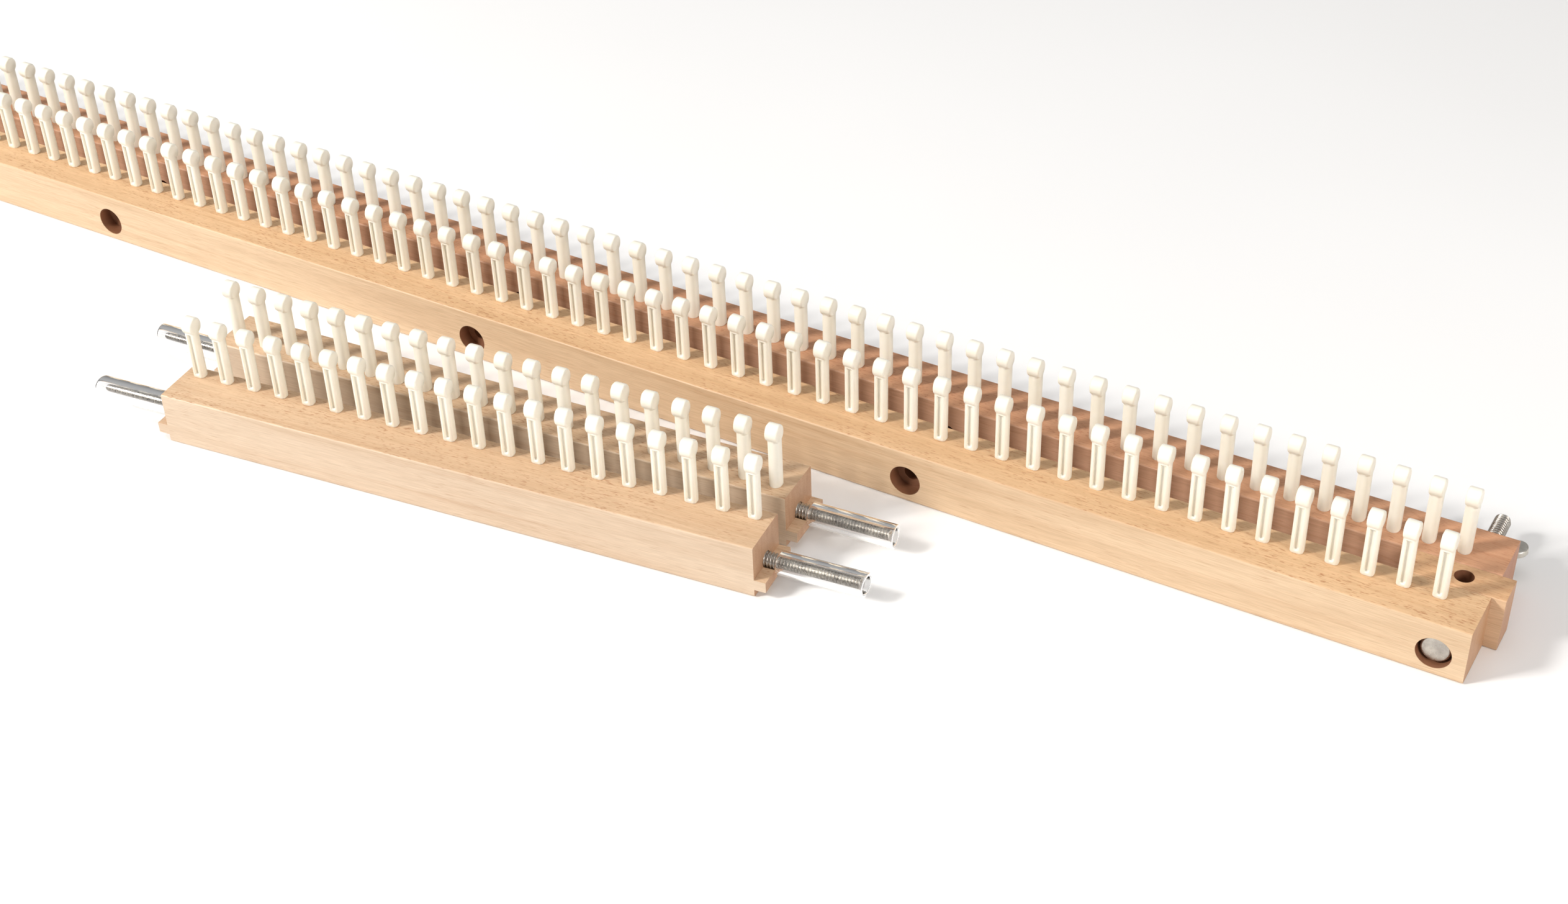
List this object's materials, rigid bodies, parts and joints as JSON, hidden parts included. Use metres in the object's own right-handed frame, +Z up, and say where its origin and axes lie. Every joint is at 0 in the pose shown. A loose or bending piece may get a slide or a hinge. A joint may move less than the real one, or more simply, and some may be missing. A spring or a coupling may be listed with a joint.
{
  "type": "knitting loom",
  "caption": "Long double-rail wooden knitting loom with facing rows of grooved pegs, end spacer blocks, clamp bolts and wing nuts, with a pair of short extension peg rails.",
  "frame": {"origin": "middle of the front rail's underside, on the table", "axes": "+X along the loom to the right, +Y from the front rail to the back rail, +Z up along the pegs"},
  "size_m": [0.8414, 0.1871, 0.0494],
  "materials": {
    "beech_rail": "fine sanded beech with short dark flecks, clear satin finish",
    "beech_block": "fine sanded beech, clear satin finish",
    "beech_extension": "pale sanded beech, clear satin finish",
    "ivory_pegs": "moulded ivory plastic, soft satin",
    "threaded_steel": "bright zinc, cut thread",
    "plated_steel": "dull nickel, cast and tumbled",
    "clear_sleeve": "clear soft vinyl tube"
  },
  "bodies": {
    "front_rail": {"front_rail": "beech_rail", "end_block_left": "beech_block", "end_block_right": "beech_block", "clamp_bolt_left": "threaded_steel", "clamp_bolt_right": "threaded_steel", "front_pegs_bay_1": "ivory_pegs", "front_pegs_bay_2": "ivory_pegs", "front_pegs_bay_3": "ivory_pegs", "front_pegs_bay_4": "ivory_pegs"},
    "back_rail": {"back_rail": "beech_rail", "washer_left": "plated_steel", "washer_right": "plated_steel", "back_pegs_bay_1": "ivory_pegs", "back_pegs_bay_2": "ivory_pegs", "back_pegs_bay_3": "ivory_pegs", "back_pegs_bay_4": "ivory_pegs"},
    "wing_nut_left": {"wing_nut_left": "plated_steel"},
    "wing_nut_right": {"wing_nut_right": "plated_steel"},
    "extension_front": {"extension_front_rail": "beech_extension", "extension_front_pegs": "ivory_pegs"},
    "extension_front_rod": {"extension_front_rod": "threaded_steel"},
    "extension_front_sleeve_left": {"extension_front_sleeve_left": "clear_sleeve"},
    "extension_front_sleeve_right": {"extension_front_sleeve_right": "clear_sleeve"},
    "extension_back": {"extension_back_rail": "beech_extension", "extension_back_pegs": "ivory_pegs"},
    "extension_back_rod": {"extension_back_rod": "threaded_steel"},
    "extension_back_sleeve_left": {"extension_back_sleeve_left": "clear_sleeve"},
    "extension_back_sleeve_right": {"extension_back_sleeve_right": "clear_sleeve"}
  },
  "joints": [
    {"name": "rail_gap_slide", "type": "slide", "parent": "front_rail", "child": "back_rail", "axis": [0, 1, 0], "range_m": [0, 0.016]},
    {"name": "wing_nut_left_turn", "type": "hinge", "parent": "back_rail", "child": "wing_nut_left", "pos_m": [-0.40425, 0.046, 0.0092], "axis": [0, 1, 0], "range_deg": [-1, 4600]},
    {"name": "wing_nut_right_turn", "type": "hinge", "parent": "back_rail", "child": "wing_nut_right", "pos_m": [0.40425, 0.046, 0.0092], "axis": [0, 1, 0], "range_deg": [-1, 4600]},
    {"name": "extension_front_slide", "type": "slide", "parent": "front_rail", "child": "extension_front", "axis": [0.9936, 0.1132, 0], "range_m": [-0.06, 0.06]},
    {"name": "extension_front_rod_turn", "type": "hinge", "parent": "extension_front", "child": "extension_front_rod", "pos_m": [0.0533, -0.09, 0.0092], "axis": [0.9936, 0.1132, 0], "continuous": true},
    {"name": "extension_front_sleeve_left_pull", "type": "slide", "parent": "extension_front_rod", "child": "extension_front_sleeve_left", "axis": [-0.9936, -0.1132, 0], "range_m": [0, 0.0372]},
    {"name": "extension_front_sleeve_right_pull", "type": "slide", "parent": "extension_front_rod", "child": "extension_front_sleeve_right", "axis": [0.9936, 0.1132, 0], "range_m": [0, 0.0372]},
    {"name": "extension_back_slide", "type": "slide", "parent": "front_rail", "child": "extension_back", "axis": [0.9968, 0.0802, 0], "range_m": [-0.06, 0.06]},
    {"name": "extension_back_rod_turn", "type": "hinge", "parent": "extension_back", "child": "extension_back_rod", "pos_m": [0.0489, -0.0556, 0.0092], "axis": [0.9968, 0.0802, 0], "continuous": true},
    {"name": "extension_back_sleeve_left_pull", "type": "slide", "parent": "extension_back_rod", "child": "extension_back_sleeve_left", "axis": [-0.9968, -0.0802, 0], "range_m": [0, 0.0372]},
    {"name": "extension_back_sleeve_right_pull", "type": "slide", "parent": "extension_back_rod", "child": "extension_back_sleeve_right", "axis": [0.9968, 0.0802, 0], "range_m": [0, 0.0372]}
  ],
  "couplings": [
    {"joint": "wing_nut_left_turn", "follows": "rail_gap_slide", "rad_per_m": 4947.4},
    {"joint": "wing_nut_right_turn", "follows": "rail_gap_slide", "rad_per_m": 4947.4}
  ]
}
